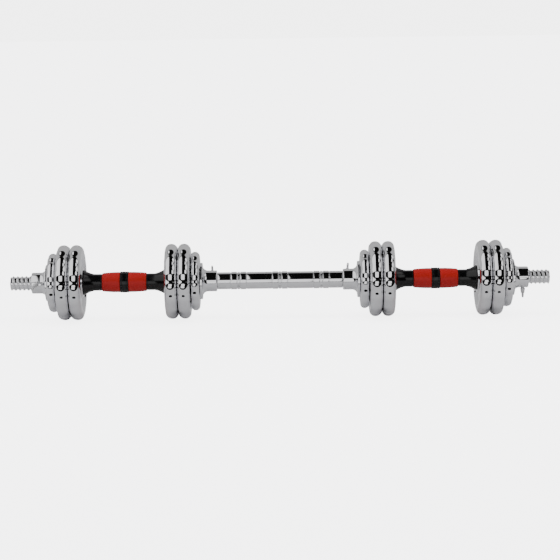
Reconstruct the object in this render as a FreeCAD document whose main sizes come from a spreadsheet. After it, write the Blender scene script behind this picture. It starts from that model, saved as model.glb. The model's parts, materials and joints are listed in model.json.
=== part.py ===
"""Two adjustable dumbbells joined end to end by a connecting rod, as a barbell.

Row frame: +X along the bars, +Z up, origin on the floor below the middle of
the connecting rod.  Each bar has two ends, and the pieces of an end are drawn
in that end's own frame: its x runs outwards from the middle of the bar, and
the thread's ridge crosses the +Z half plane at every whole number of pitches.
"""
import FreeCAD, Part
import Sketcher
import math
import os

SIZES = {
    # threaded bar
    "bar_length": 400,
    "thread_pitch": 7.5,
    "thread_crest_radius": 12.75,
    "thread_root_radius": 11,
    "ridge_crest_width": 1.8,
    "ridge_root_width": 3.4,
    "bar_plain_radius": 12.5,
    "bar_chamfer": 1.5,
    # hand grip, each length from the middle of the bar outwards
    "grip_length": 144,
    "band_width": 14.5,
    "band_radius": 18.6,
    "sleeve_length": 31.5,
    "sleeve_wide_radius": 17.9,
    "sleeve_narrow_radius": 16.4,
    "sleeve_bulge_radius": 190,
    "neck_radius": 14.8,
    "neck_length": 14,
    "flare_radius": 22,
    "flare_curve_radius": 46,
    "flare_lip": 1.5,
    "stop_ring_radius": 17,
    "stop_ring_width": 6,
    # weight plates
    "large_diameter": 133,
    "large_width": 22,
    "large_rim_fillet": 10.4,
    "large_lip": 7.1,
    "large_boss_radius": 25,
    "small_diameter": 104,
    "small_width": 15.5,
    "small_rim_fillet": 7.4,
    "small_lip": 7.6,
    "small_boss_radius": 22,
    "lobe_count": 16,
    "lobe_depth": 1.2,
    "recess_depth": 3.5,
    "recess_slope": 3,
    "plate_bore_clearance": 1,
    "plate_gap": 0.3,
    # rubber washer and threaded collar
    "washer_margin": 6.4,
    "washer_bore_clearance": 1.45,
    "washer_thickness": 3,
    "collar_length": 29.6,
    "flange_overhang": 13.5,
    "flange_width": 4.4,
    "flange_chamfer": 1,
    "hub_radius": 18.5,
    "hub_neck_radius": 9.5,
    "hub_round": 2,
    "dish_depth": 1.6,
    "dish_radius": 15.4,
    "female_bore_clearance": 0.7,
    "thread_clearance": 0.4,
    # wing screw, along its own axis from its tip
    "screw_radius": 3,
    "screw_hole_clearance": 0.2,
    "screw_tip_clearance": 0.5,
    "screw_seat_gap": 1,
    "screw_boss_radius": 4.6,
    "screw_boss_length": 5,
    "wing_radius": 5,
    "wing_offset": 5.7,
    "wing_height": 11.5,
    "wing_thickness": 4,
    # connecting rod
    "rod_length": 220,
    "rod_wall": 1.8,
    "rod_band_height": 0.6,
    "rod_band_width": 26.5,
    "rod_band_spacing": 72.5,
    "rod_groove_width": 1.2,
    "rod_groove_depth": 0.7,
    "rod_bead_width": 4,
    "rod_bore_radius": 10,
    "socket_spare": 5.1,
    "socket_relief": 9,
    "rod_chamfer": 1,
    "rod_gap": 0.5,
    # clearances
    "fit_clearance": 0.05,
    "part_clearance": 0.3,
}

# Each end of each bar: name, side of the row it is on, direction in which its
# x runs along the row's X, the lean of its wing screw about the row's X, from
# straight up (0) through the front (90) to straight down (180), and how far
# the screw is turned about its own axis, its wings being along the bar at 0.
ENDS = [
    ("left_outer", -1, -1, 90, 40),
    ("left_inner", -1, 1, -68, 75),
    ("right_inner", 1, -1, -62, 110),
    ("right_outer", 1, 1, 180, 85),
]
SIDES = [("left", -1), ("right", 1)]

X_AXIS = FreeCAD.Vector(1, 0, 0)
Z_AXIS = FreeCAD.Vector(0, 0, 1)

doc = FreeCAD.newDocument("JoinedDumbbells")
sheet = doc.addObject("Spreadsheet::Sheet", "Size")
subparts = []


def fill_sheet():
    """One row of the sheet for each driving dimension."""
    for row, (alias, value) in enumerate(SIZES.items(), start=1):
        sheet.set(f"A{row}", alias)
        sheet.set(f"B{row}", str(value))
        sheet.setAlias(f"B{row}", alias)
    doc.recompute()


def number(expression):
    """The present value of an expression of the sheet."""
    return float(sheet.evalExpression(expression))


def size(alias):
    return f"Size.{alias}"


# Places along an end's x, worked out from the sheet.
GRIP_END = "Size.grip_length / 2"
SLEEVE_START = "Size.band_width / 2"
FLARE_START = f"{SLEEVE_START} + Size.sleeve_length"
PLATE_1 = f"{GRIP_END} + Size.plate_gap"
PLATE_2 = f"{PLATE_1} + Size.large_width + Size.plate_gap"
PLATE_3 = f"{PLATE_2} + Size.large_width + Size.plate_gap"
WASHER_START = f"{PLATE_3} + Size.small_width + Size.plate_gap"
COLLAR_START = f"{WASHER_START} + Size.part_clearance"
HUB_CENTRE = "(Size.flange_width + Size.hub_neck_radius + Size.collar_length - Size.hub_round) / 2"
SCREW_PLACE = f"{COLLAR_START} + {HUB_CENTRE}"
BAR_CENTRE = f"Size.rod_length / 2 + Size.rod_gap + {COLLAR_START} + Size.collar_length"
AXIS_HEIGHT = "Size.large_diameter / 2"

# Radii and depths that follow what they carry or take.
FLANGE_RADIUS = "(Size.hub_radius + Size.flange_overhang)"
WASHER_RADIUS = f"({FLANGE_RADIUS} - Size.washer_margin)"
FEMALE_BORE = "(Size.thread_root_radius + Size.female_bore_clearance)"
RELIEF_RADIUS = "(Size.thread_crest_radius + Size.thread_clearance + Size.fit_clearance)"
ROD_RADIUS = f"({RELIEF_RADIUS} + Size.rod_wall)"
ENGAGED_LENGTH = f"(Size.bar_length / 2 - ({COLLAR_START}) - Size.collar_length - Size.rod_gap)"
SOCKET_DEPTH = f"({ENGAGED_LENGTH} + Size.socket_spare)"


def origin_feature(body, role):
    return next(item for item in body.Origin.OriginFeatures if item.Role == role)


def new_body(label):
    body = doc.addObject("PartDesign::Body", label)
    body.Label = label
    subparts.append(body)
    return body


def bind(item, bindings):
    """Tie properties of an object to expressions of the sheet."""
    for name, expression in bindings.items():
        item.setExpression(name, expression)


def place(item, side, direction, along, lean=0, twist=0):
    """Stand a piece on its end's axis, with its origin at x = along."""
    turn = FreeCAD.Rotation(Z_AXIS, twist if direction > 0 else twist + 180)
    item.Placement = FreeCAD.Placement(FreeCAD.Vector(), FreeCAD.Rotation(X_AXIS, lean) * turn)
    item.setExpression("Placement.Base.x", f"{side} * ({BAR_CENTRE}) + {direction} * ({along})")
    item.setExpression("Placement.Base.z", AXIS_HEIGHT)


def outline_edge(start, end, arc):
    """A straight edge, or an arc of the given radius that bulges to one side."""
    if not arc:
        return Part.LineSegment(start, end)
    radius = number(arc[0])
    chord = end - start
    left = FreeCAD.Vector(-chord.y, chord.x, 0).normalize()
    rise = radius - math.sqrt(radius ** 2 - (chord.Length / 2) ** 2)
    middle = (start + end) * 0.5 + left * (rise * arc[1])
    return Part.Arc(start, middle, end)


def end_at(sketch, edge, point):
    """Which end of a sketch edge (1 or 2) lies at the point."""
    first = sketch.getPoint(edge, 1)
    second = sketch.getPoint(edge, 2)
    return 1 if (first - point).Length < (second - point).Length else 2


def new_sketch(body, name, role):
    sketch = body.newObject("Sketcher::SketchObject", name)
    sketch.AttachmentSupport = [(origin_feature(body, role), "")]
    sketch.MapMode = "FlatFace"
    return sketch


def pin(sketch, kind, edge, end, expression, name):
    """Fix one coordinate of a sketch point to an expression of the sheet."""
    sketch.addConstraint(Sketcher.Constraint(kind, -1, 1, edge, end, number(expression)))
    sketch.renameConstraint(sketch.ConstraintCount - 1, name)
    sketch.setExpression(f"Constraints.{name}", expression)


def outline(body, name, corners):
    """A closed outline in the body's XZ plane.

    A corner is (x, z), or (x, z, radius, side) where the edge that leaves it
    is an arc: side is +1 for a bulge to the left of the way round, else -1.
    """
    sketch = new_sketch(body, name, "XZ_Plane")
    points = [FreeCAD.Vector(number(c[0]), number(c[1]), 0) for c in corners]
    for index, corner in enumerate(corners):
        following = points[(index + 1) % len(points)]
        sketch.addGeometry(outline_edge(points[index], following, corner[2:]))
    for index, corner in enumerate(corners):
        before = (index - 1) % len(corners)
        here = end_at(sketch, index, points[index])
        there = end_at(sketch, before, points[index])
        sketch.addConstraint(Sketcher.Constraint("Coincident", before, there, index, here))
        pin(sketch, "DistanceX", index, here, corner[0], f"x{index}")
        pin(sketch, "DistanceY", index, here, corner[1], f"z{index}")
        if corner[2:]:
            sketch.addConstraint(Sketcher.Constraint("Radius", index, number(corner[2])))
            sketch.renameConstraint(sketch.ConstraintCount - 1, f"radius{index}")
            sketch.setExpression(f"Constraints.radius{index}", corner[2])
    return sketch


def revolve(body, name, corners, kind="PartDesign::Revolution"):
    """Turn an outline about the body's X axis, adding or (Groove) removing."""
    sketch = outline(body, f"{name}_outline", corners)
    feature = body.newObject(kind, name)
    feature.Profile = sketch
    feature.ReferenceAxis = (sketch, ["H_Axis"])
    feature.Angle = 360
    doc.recompute()
    return feature


def ring_corners(start, end, inner, outer):
    return [(start, inner), (start, outer), (end, outer), (end, inner)]


def cut_helix(body, name, corners, length):
    """Cut a right-hand helical groove of the outline's section along X."""
    before = body.Tip.Shape.Volume
    sketch = outline(body, f"{name}_section", corners)
    helix = body.newObject("PartDesign::SubtractiveHelix", name)
    helix.Profile = sketch
    helix.ReferenceAxis = (sketch, ["H_Axis"])
    helix.Mode = 0
    helix.LeftHanded = False
    bind(helix, {"Pitch": size("thread_pitch"), "Height": length})
    doc.recompute()
    if not helix.Shape.Volume < before:
        raise RuntimeError(f"{body.Label}: the helix {name} removed nothing")
    return helix


def turned_piece(label, end, along, corners):
    """A piece of revolution in a body of its own, on an end's axis."""
    body = new_body(label)
    revolve(body, "turning", corners)
    place(body, end[1], end[2], along)
    return body


def make_bar(name, side):
    """Steel bar: plain under the grip, a coarse round thread at each end."""
    body = new_body(f"{name}_threaded_bar")
    half = "Size.bar_length / 2"
    crest = size("thread_crest_radius")
    plain = size("bar_plain_radius")
    tip = f"{crest} - Size.bar_chamfer"
    shoulder = f"{half} - Size.bar_chamfer"
    revolve(body, "blank", [
        (f"-({half})", "0"), (f"-({half})", tip), (f"-({shoulder})", crest),
        (f"-({GRIP_END})", crest), (f"-({GRIP_END})", plain),
        (GRIP_END, plain), (GRIP_END, crest),
        (shoulder, crest), (half, tip), (half, "0"),
    ])
    # The groove between two ridges, carried a little outside the crest.
    flank = "(Size.ridge_root_width - Size.ridge_crest_width) / 2"
    spare = f"{flank} / ({crest} - Size.thread_root_radius) * 0.7"
    start = f"(floor({GRIP_END} / Size.thread_pitch) + 1.5) * Size.thread_pitch"
    root_half = "(Size.thread_pitch - Size.ridge_root_width) / 2"
    top_half = f"((Size.thread_pitch - Size.ridge_crest_width) / 2 + {spare})"
    helix = cut_helix(body, "thread", [
        (f"{start} - {root_half}", size("thread_root_radius")),
        (f"{start} - {top_half}", f"{crest} + 0.7"),
        (f"{start} + {top_half}", f"{crest} + 0.7"),
        (f"{start} + {root_half}", size("thread_root_radius")),
    ], f"{half} - {GRIP_END} + Size.thread_pitch")
    both = body.newObject("PartDesign::PolarPattern", "both_ends")
    both.Originals = [helix]
    both.Axis = (origin_feature(body, "Z_Axis"), [""])
    both.Angle = 360
    both.Occurrences = 2
    body.Tip = both
    doc.recompute()
    place(body, side, 1, "0")


def cut_female_thread(body, name, along, start, end):
    """Cut the thread that takes the bar's ridge, in step with it at rest.

    The body's origin stands at along on its end's x, and the thread runs from
    before start to end on that x.
    """
    clearance = size("thread_clearance")
    crest = f"Size.thread_crest_radius + {clearance}"
    first = f"((floor(({start}) / Size.thread_pitch) - 1) * Size.thread_pitch)"
    turn = f"({first} - ({along}))"
    crest_half = f"(Size.ridge_crest_width / 2 + {clearance})"
    root_half = f"(Size.ridge_root_width / 2 + {clearance} + 0.5)"
    inside = f"{FEMALE_BORE} - 0.9"
    return cut_helix(body, name, [
        (f"{turn} - {root_half}", inside),
        (f"{turn} - {crest_half}", crest),
        (f"{turn} + {crest_half}", crest),
        (f"{turn} + {root_half}", inside),
    ], f"{end} - {first}")


def make_grip(end):
    """One half of the hand grip: a soft sleeve and a flared end with its ring."""
    bore = "Size.bar_plain_radius + Size.fit_clearance"
    turned_piece(f"{end[0]}_grip_sleeve", end, SLEEVE_START, [
        ("0", bore),
        ("0", size("sleeve_wide_radius"), size("sleeve_bulge_radius"), 1),
        (size("sleeve_length"), size("sleeve_narrow_radius")),
        (size("sleeve_length"), bore),
    ])
    length = f"({GRIP_END} - ({FLARE_START}))"
    seat = f"({length} - Size.stop_ring_width - Size.part_clearance)"
    ring_seat = "Size.stop_ring_radius + Size.part_clearance"
    turned_piece(f"{end[0]}_grip_flare", end, FLARE_START, [
        ("0", bore),
        ("0", size("neck_radius")),
        (size("neck_length"), size("neck_radius"), size("flare_curve_radius"), -1),
        (f"{length} - Size.flare_lip", size("flare_radius")),
        (length, size("flare_radius")),
        (length, ring_seat),
        (seat, ring_seat),
        (seat, bore),
    ])
    ring_start = f"{GRIP_END} - Size.stop_ring_width"
    turned_piece(f"{end[0]}_stop_ring", end, ring_start, ring_corners(
        "0", size("stop_ring_width"), bore, size("stop_ring_radius")))


def make_band(name, side):
    """The rounded band between the two sleeves of a grip."""
    half = "Size.band_width / 2"
    edge = "Size.band_radius - 0.6"
    bore = "Size.bar_plain_radius + Size.fit_clearance"
    body = new_body(f"{name}_grip_band")
    revolve(body, "turning", [
        (f"-({half})", bore), (f"-({half})", edge), (f"-({half}) + 0.6", size("band_radius")),
        (f"{half} - 0.6", size("band_radius")), (half, edge), (half, bore),
    ])
    place(body, side, 1, "0")


def plate_blank(name, kind):
    """Disc with a wavy rim of tangent arcs, its rim edges fully rounded."""
    radius = number(f"Size.{kind}_diameter / 2")
    depth = number(size("lobe_depth"))
    count = int(number(size("lobe_count")))
    middle = radius - depth / 2
    step = 2 * math.pi / count

    def at(distance, angle):
        return FreeCAD.Vector(0, distance * math.sin(angle), distance * math.cos(angle))

    edges = []
    for lobe in range(count):
        angle = lobe * step
        crest_arc = Part.Arc(at(middle, angle - step / 4), at(radius, angle), at(middle, angle + step / 4))
        valley = angle + step / 2
        valley_arc = Part.Arc(at(middle, valley - step / 4), at(radius - depth, valley),
                              at(middle, valley + step / 4))
        edges += [crest_arc.toShape(), valley_arc.toShape()]
    width = number(f"Size.{kind}_width")
    disc = Part.Face(Part.Wire(edges)).extrude(FreeCAD.Vector(width, 0, 0))
    rims = [e for e in disc.Edges if e.BoundBox.XLength < width / 2]
    fillet = min(number(f"Size.{kind}_rim_fillet"), 0.48 * width)
    blank = doc.addObject("Part::Feature", name)
    blank.Shape = disc.makeFillet(fillet, rims)
    return blank


def make_plate(label, end, along, kind, blank):
    """Weight plate: the wavy blank with a dished ring in each face and a bore."""
    body = new_body(label)
    body.BaseFeature = blank
    doc.recompute()
    width = f"Size.{kind}_width"
    depth = size("recess_depth")
    outer = f"(Size.{kind}_diameter / 2 - Size.{kind}_rim_fillet - Size.{kind}_lip)"
    inner = f"Size.{kind}_boss_radius"
    slope = size("recess_slope")
    before = body.Tip.Shape.Volume
    revolve(body, "inner_dish", [
        ("-1", inner), ("0", inner), (depth, f"{inner} + {slope}"),
        (depth, f"{outer} - {slope}"), ("0", outer), ("-1", outer),
    ], "PartDesign::Groove")
    revolve(body, "outer_dish", [
        (f"{width} + 1", inner), (width, inner), (f"{width} - {depth}", f"{inner} + {slope}"),
        (f"{width} - {depth}", f"{outer} - {slope}"), (width, outer), (f"{width} + 1", outer),
    ], "PartDesign::Groove")
    bore = "Size.thread_crest_radius + Size.plate_bore_clearance"
    revolve(body, "bore", [
        ("-1", "0"), ("-1", bore), (f"{width} + 1", bore), (f"{width} + 1", "0"),
    ], "PartDesign::Groove")
    if not body.Tip.Shape.Volume < 0.95 * before:
        raise RuntimeError(f"{label}: the dishes and the bore removed too little")
    place(body, end[1], end[2], along)


def make_washer(end):
    bore = "Size.thread_crest_radius + Size.washer_bore_clearance"
    turned_piece(f"{end[0]}_rubber_washer", end, WASHER_START, ring_corners(
        "0", size("washer_thickness"), bore, WASHER_RADIUS))


def make_collar(end):
    """Threaded collar: flange with a washer seat, hollow neck and a hub."""
    body = new_body(f"{end[0]}_collar")
    seat_depth = size("washer_thickness")
    seat = f"{WASHER_RADIUS} + Size.part_clearance"
    bore = FEMALE_BORE
    flange = FLANGE_RADIUS
    width = size("flange_width")
    chamfer = size("flange_chamfer")
    hub = size("hub_radius")
    neck = size("hub_neck_radius")
    length = size("collar_length")
    rounding = size("hub_round")
    revolve(body, "turning", [
        (seat_depth, bore), (seat_depth, seat), ("0", seat),
        ("0", f"{flange} - {chamfer}"), (chamfer, flange),
        (f"{width} - {chamfer}", flange), (width, f"{flange} - {chamfer}"),
        (width, f"{hub} + {neck}", f"{neck} * 1.0001", -1),
        (f"{width} + {neck}", hub),
        (f"{length} - {rounding}", hub, f"{rounding} * 1.0001", 1),
        (length, f"{hub} - {rounding}"), (length, size("dish_radius")),
        (f"{length} - Size.dish_depth", f"{size('dish_radius')} - 1.6"),
        (f"{length} - Size.dish_depth", bore),
    ])
    hole = body.newObject("PartDesign::SubtractiveCylinder", "screw_hole")
    bind(hole, {"Radius": "Size.screw_radius + Size.screw_hole_clearance",
                "Height": f"{hub} + {neck}"})
    hole.Placement = FreeCAD.Placement(FreeCAD.Vector(), FreeCAD.Rotation(X_AXIS, end[2] * end[3]))
    hole.setExpression("Placement.Base.x", HUB_CENTRE)
    doc.recompute()
    cut_female_thread(body, "thread", COLLAR_START, COLLAR_START,
                      f"{COLLAR_START} + {length} + Size.thread_pitch")
    place(body, end[1], end[2], COLLAR_START)


def primitive(kind, name, bindings, turn=None, base=None):
    """A Part primitive with its sizes and its place bound to the sheet."""
    item = doc.addObject(kind, name)
    bind(item, bindings)
    item.Placement = FreeCAD.Placement(FreeCAD.Vector(), turn or FreeCAD.Rotation())
    for axis, expression in (base or {}).items():
        item.setExpression(f"Placement.Base.{axis}", expression)
    return item


def make_wing_screw(end):
    """Thumb screw with two round wings; its own +Z points out of the hub."""
    name = end[0]
    tip = "(Size.thread_crest_radius + Size.screw_tip_clearance)"
    seat = "(Size.hub_radius + Size.screw_seat_gap)"
    top = f"({seat} + Size.wing_height)"
    thickness = size("wing_thickness")
    across = FreeCAD.Rotation(X_AXIS, -90)
    pieces = [
        primitive("Part::Cylinder", f"{name}_shank",
                  {"Radius": size("screw_radius"), "Height": f"{top} - {tip}"}, base={"z": tip}),
        primitive("Part::Cylinder", f"{name}_boss",
                  {"Radius": size("screw_boss_radius"), "Height": size("screw_boss_length")},
                  base={"z": seat}),
        primitive("Part::Box", f"{name}_web",
                  {"Length": "2 * Size.wing_offset", "Width": thickness,
                   "Height": "Size.wing_height - Size.screw_seat_gap"},
                  base={"x": "-Size.wing_offset", "y": f"-{thickness} / 2",
                        "z": f"{seat} + Size.screw_seat_gap"}),
    ]
    for hand in (-1, 1):
        pieces.append(primitive(
            "Part::Cylinder", f"{name}_wing",
            {"Radius": size("wing_radius"), "Height": thickness}, across,
            {"x": f"{hand} * Size.wing_offset", "y": f"-{thickness} / 2", "z": top}))
    screw = doc.addObject("Part::MultiFuse", f"{name}_wing_screw")
    screw.Label = f"{name}_wing_screw"
    screw.Shapes = pieces
    screw.Refine = True
    place(screw, end[1], 1, f"{end[2]} * ({SCREW_PLACE})", end[3], end[4])
    subparts.append(screw)


def rod_band_corners(index):
    """One raised band of the rod: a groove each side and a bead in its middle."""
    centre = f"{index} * Size.rod_band_spacing"
    half = "Size.rod_band_width / 2"
    bead = "Size.rod_bead_width / 2"
    groove = size("rod_groove_width")
    low = f"{ROD_RADIUS} - Size.rod_groove_depth"
    high = f"{ROD_RADIUS} + Size.rod_band_height"
    plain = ROD_RADIUS
    steps = [
        (f"-{half} - {groove}", plain), (f"-{half} - {groove}", low), (f"-{half}", low),
        (f"-{half}", high), (f"-{bead} - {groove}", high), (f"-{bead} - {groove}", low),
        (f"-{bead}", low), (f"-{bead}", high), (f"{bead}", high), (f"{bead}", low),
        (f"{bead} + {groove}", low), (f"{bead} + {groove}", high), (f"{half}", high),
        (f"{half}", low), (f"{half} + {groove}", low), (f"{half} + {groove}", plain),
    ]
    return [(f"{centre} + ({offset})", radius) for offset, radius in steps]


def make_rod():
    """Connecting rod: a tube with three bands and a threaded socket each end."""
    body = new_body("connecting_rod")
    half = "Size.rod_length / 2"
    rim = ROD_RADIUS
    chamfer = size("rod_chamfer")
    socket = f"({half} - {SOCKET_DEPTH})"
    bore = FEMALE_BORE
    inner = size("rod_bore_radius")
    corners = [(f"-({half})", bore), (f"-({half})", f"{rim} - {chamfer}"),
               (f"-({half}) + {chamfer}", rim)]
    for index in (-1, 0, 1):
        corners += rod_band_corners(index)
    neck = f"{socket} + Size.socket_relief"
    corners += [(f"{half} - {chamfer}", rim), (half, f"{rim} - {chamfer}"), (half, bore),
                (neck, bore), (neck, RELIEF_RADIUS), (socket, RELIEF_RADIUS), (socket, inner),
                (f"-({socket})", inner), (f"-({socket})", RELIEF_RADIUS),
                (f"-({neck})", RELIEF_RADIUS), (f"-({neck})", bore)]
    revolve(body, "turning", corners)
    # In the frame of the inner end of the left bar, the rod's middle is at BAR_CENTRE.
    mouth = f"({BAR_CENTRE} - {half})"
    thread = cut_female_thread(body, "thread", BAR_CENTRE, mouth,
                               f"{mouth} + {SOCKET_DEPTH} - Size.thread_pitch / 2")
    both = body.newObject("PartDesign::PolarPattern", "both_sockets")
    both.Originals = [thread]
    both.Axis = (origin_feature(body, "Z_Axis"), [""])
    both.Angle = 360
    both.Occurrences = 2
    body.Tip = both
    doc.recompute()
    body.setExpression("Placement.Base.z", AXIS_HEIGHT)


def make_end(end, blanks):
    """Everything that one bar end carries."""
    make_grip(end)
    make_plate(f"{end[0]}_large_plate_1", end, PLATE_1, "large", blanks["large"])
    make_plate(f"{end[0]}_large_plate_2", end, PLATE_2, "large", blanks["large"])
    make_plate(f"{end[0]}_small_plate", end, PLATE_3, "small", blanks["small"])
    make_washer(end)
    make_collar(end)
    make_wing_screw(end)


def check_document():
    """Refuse a failed object or a sub-part that is not one sound solid."""
    for item in doc.Objects:
        if "Invalid" in item.State or "Error" in item.State:
            raise RuntimeError(f"{item.Label} failed: {item.State}")
    for item in subparts:
        shape = item.Shape
        if shape.isNull() or not shape.isValid() or len(shape.Solids) != 1:
            raise RuntimeError(f"{item.Label} is not one sound solid")


def export():
    os.makedirs("parts", exist_ok=True)
    for item in subparts:
        item.Shape.exportStep(f"parts/{item.Label}.step")
        print(item.Label, round(item.Shape.Volume))


fill_sheet()
make_rod()
for name, side in SIDES:
    make_bar(name, side)
    make_band(name, side)
blanks = {kind: plate_blank(f"{kind}_blank", kind) for kind in ("large", "small")}
for end in ENDS:
    make_end(end, blanks)
doc.recompute()
check_document()
export()
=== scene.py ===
"""Looks of two adjustable dumbbells joined by a connecting rod.

Every piece is made about its own axis, x running outwards along a bar end,
and is then stood in the row's frame where its frame node lies.
"""
import json
import math

import bmesh
import bpy
from bpy.props import (FloatProperty, FloatVectorProperty, IntProperty,
                       PointerProperty)
from mathutils import Matrix, Vector


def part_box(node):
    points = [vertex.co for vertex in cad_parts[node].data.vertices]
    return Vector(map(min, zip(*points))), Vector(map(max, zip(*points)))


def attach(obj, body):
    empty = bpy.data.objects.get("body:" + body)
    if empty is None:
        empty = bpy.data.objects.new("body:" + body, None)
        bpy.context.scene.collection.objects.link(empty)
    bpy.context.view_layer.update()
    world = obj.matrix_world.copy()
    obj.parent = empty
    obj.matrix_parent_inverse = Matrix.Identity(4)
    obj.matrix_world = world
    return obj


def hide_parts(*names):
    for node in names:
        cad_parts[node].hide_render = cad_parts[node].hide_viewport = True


bl_info = {
    "name": "Joined adjustable dumbbells",
    "version": (1, 0, 0),
    "blender": (4, 5, 0),
    "location": "View3D > Sidebar > Dumbbells",
    "description": "Chrome dumbbell pair on a connecting rod, with its studio",
    "category": "Add Mesh",
}

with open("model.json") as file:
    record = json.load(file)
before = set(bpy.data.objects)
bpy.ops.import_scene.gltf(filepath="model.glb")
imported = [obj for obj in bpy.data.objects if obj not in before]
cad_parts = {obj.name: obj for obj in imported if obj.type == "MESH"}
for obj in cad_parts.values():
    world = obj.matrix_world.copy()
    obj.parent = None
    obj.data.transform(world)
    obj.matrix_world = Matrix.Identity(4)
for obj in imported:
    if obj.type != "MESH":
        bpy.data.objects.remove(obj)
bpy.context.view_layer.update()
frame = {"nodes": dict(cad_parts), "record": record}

# Each bar end: its name, and the way its x runs along the row's X.
ENDS = {"left_outer": -1, "left_inner": 1, "right_inner": -1, "right_outer": 1}
SIDES = ("left", "right")
NODE_BODY = {node: body for body, nodes in
             frame["record"]["behaviour"]["bodies"].items() for node in nodes}


def low(node):
    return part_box(node)[0]


def high(node):
    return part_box(node)[1]


def span(node, axis):
    return high(node)[axis] - low(node)[axis]


def middle(node, axis):
    return (high(node)[axis] + low(node)[axis]) / 2


AXIS_HEIGHT = middle("connecting_rod", 2)
BAR_CENTRE = middle("right_threaded_bar", 0)


# ---------------------------------------------------------------- settings

def length(name, default, description):
    """A length property, in metres."""
    return FloatProperty(name=name, default=default, description=description,
                         subtype="DISTANCE", unit="LENGTH", min=0)


def count(name, default, description):
    return IntProperty(name=name, default=default, description=description, min=1)


def angle(name, degrees, description):
    return FloatProperty(name=name, default=math.radians(degrees), description=description,
                         subtype="ANGLE", unit="ROTATION")


def strength(name, default, description):
    return FloatProperty(name=name, default=default, description=description, min=0)


def colour(name, default, description):
    return FloatVectorProperty(name=name, default=default, description=description,
                               subtype="COLOR", size=3, min=0, max=1)


class PlateSettings(bpy.types.PropertyGroup):
    lobes: count("Lobes", 16, "Lobes round a plate's rim")
    lobe_depth: length("Lobe depth", 0.0012, "From the top of a lobe to the valley beside it")
    large_rim: length("Large rim", 0.0104, "Rounding of a large plate's rim")
    small_rim: length("Small rim", 0.0074, "Rounding of a small plate's rim")
    large_dish: length("Large dish", 0.049, "Outer radius of the dish in a large plate's face")
    small_dish: length("Small dish", 0.037, "Outer radius of the dish in a small plate's face")
    large_boss: length("Large boss", 0.025, "Radius of the boss round a large plate's bore")
    small_boss: length("Small boss", 0.022, "Radius of the boss round a small plate's bore")
    dish_depth: length("Dish depth", 0.0035, "Depth of the dishes")
    dish_slope: length("Dish slope", 0.003, "Width of a dish's sloping side")
    bore: length("Bore", 0.01375, "Radius of the bore")


class ThreadSettings(bpy.types.PropertyGroup):
    pitch: length("Pitch", 0.0075, "Advance of the thread in one turn")
    root: length("Root radius", 0.011, "Radius between the ridges")
    crest: length("Crest radius", 0.01275, "Radius over the ridges")
    ridge_base: length("Ridge base", 0.0038, "Width of a ridge where it leaves the root")
    ridge_top: length("Ridge top", 0.0012, "Width of a ridge's flat top")
    plain: length("Plain radius", 0.0125, "Radius of the bar inside the grip")
    chamfer: length("Chamfer", 0.0015, "Chamfer of the bar's ends")
    clearance: length("Clearance", 0.0004, "Room round the ridge in a collar or socket")
    bore: length("Bore radius", 0.0117, "Radius between the ridges of a female thread")
    lead: length("Lead-in", 0.0012, "Chamfer of a female thread's mouth")


class GripSettings(bpy.types.PropertyGroup):
    sleeve_wide: length("Sleeve wide end", 0.0177, "Radius of a sleeve beside the band")
    sleeve_narrow: length("Sleeve narrow end", 0.0162, "Radius of a sleeve at its outer end")
    sleeve_bulge: length("Sleeve bulge", 0.0005, "How far a sleeve's side stands out of a cone")
    stud_pitch: length("Stud pitch", 0.0019, "Distance between the studs of a sleeve")
    stud_height: length("Stud height", 0.00014, "Height of a sleeve's studs")
    neck: length("Neck radius", 0.0148, "Radius of the flare's neck")
    neck_length: length("Neck length", 0.014, "Length of the flare's neck")
    flare_curve: length("Flare curve", 0.046, "Radius of the flare's hollow side")
    lip: length("Lip", 0.0015, "Width of the flare's lip against the plates")
    band_groove: length("Band groove", 0.0004, "Depth of the grooves in the band")


class CollarSettings(bpy.types.PropertyGroup):
    flange_width: length("Flange width", 0.0044, "Width of the collar's flange")
    hub: length("Hub radius", 0.0185, "Radius of the collar's hub")
    neck: length("Neck curve", 0.0095, "Radius of the hollow between flange and hub")
    hub_round: length("Hub rounding", 0.002, "Rounding of the hub's outer edge")
    dish: length("Dish radius", 0.0154, "Radius of the dish in the hub's face")
    dish_depth: length("Dish depth", 0.0016, "Depth of the dish in the hub's face")
    seat_gap: length("Seat gap", 0.0003, "Room round the rubber washer in its seat")
    seat_depth: length("Seat depth", 0.003, "Depth of the seat of the rubber washer")
    washer_bore: length("Washer bore", 0.0142, "Radius of the rubber washer's bore")
    rim_edge: length("Rim edge", 0.0008, "Plain edge each side of the flange's knurl")
    knurl_pitch: length("Knurl pitch", 0.0013, "Distance between the points of the knurl")
    knurl_height: length("Knurl height", 0.0004, "Height of the knurl's points")


class ScrewSettings(bpy.types.PropertyGroup):
    shank: length("Shank radius", 0.003, "Radius of the wing screw's shank")
    pitch: length("Pitch", 0.001, "Pitch of the wing screw's thread")
    tip_gap: length("Tip gap", 0.0005, "Room between the screw's tip and the bar's thread")
    seat_gap: length("Seat gap", 0.001, "Room between the hub and the casting")
    height: length("Height", 0.0115, "From the casting's foot to the wings' centres")
    boss: length("Boss radius", 0.0046, "Radius of the boss between the wings")
    arm: length("Arm length", 0.0105, "Length of the arm from the boss to a wing")
    wing: length("Wing radius", 0.005, "Radius of a wing")
    wing_offset: length("Wing offset", 0.0057, "Distance of a wing's centre from the axis")
    wing_thickness: length("Wing thickness", 0.004, "Thickness of a wing")
    grain: length("Casting grain", 0.0003, "Size of the cells that the casting is smoothed from")


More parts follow.
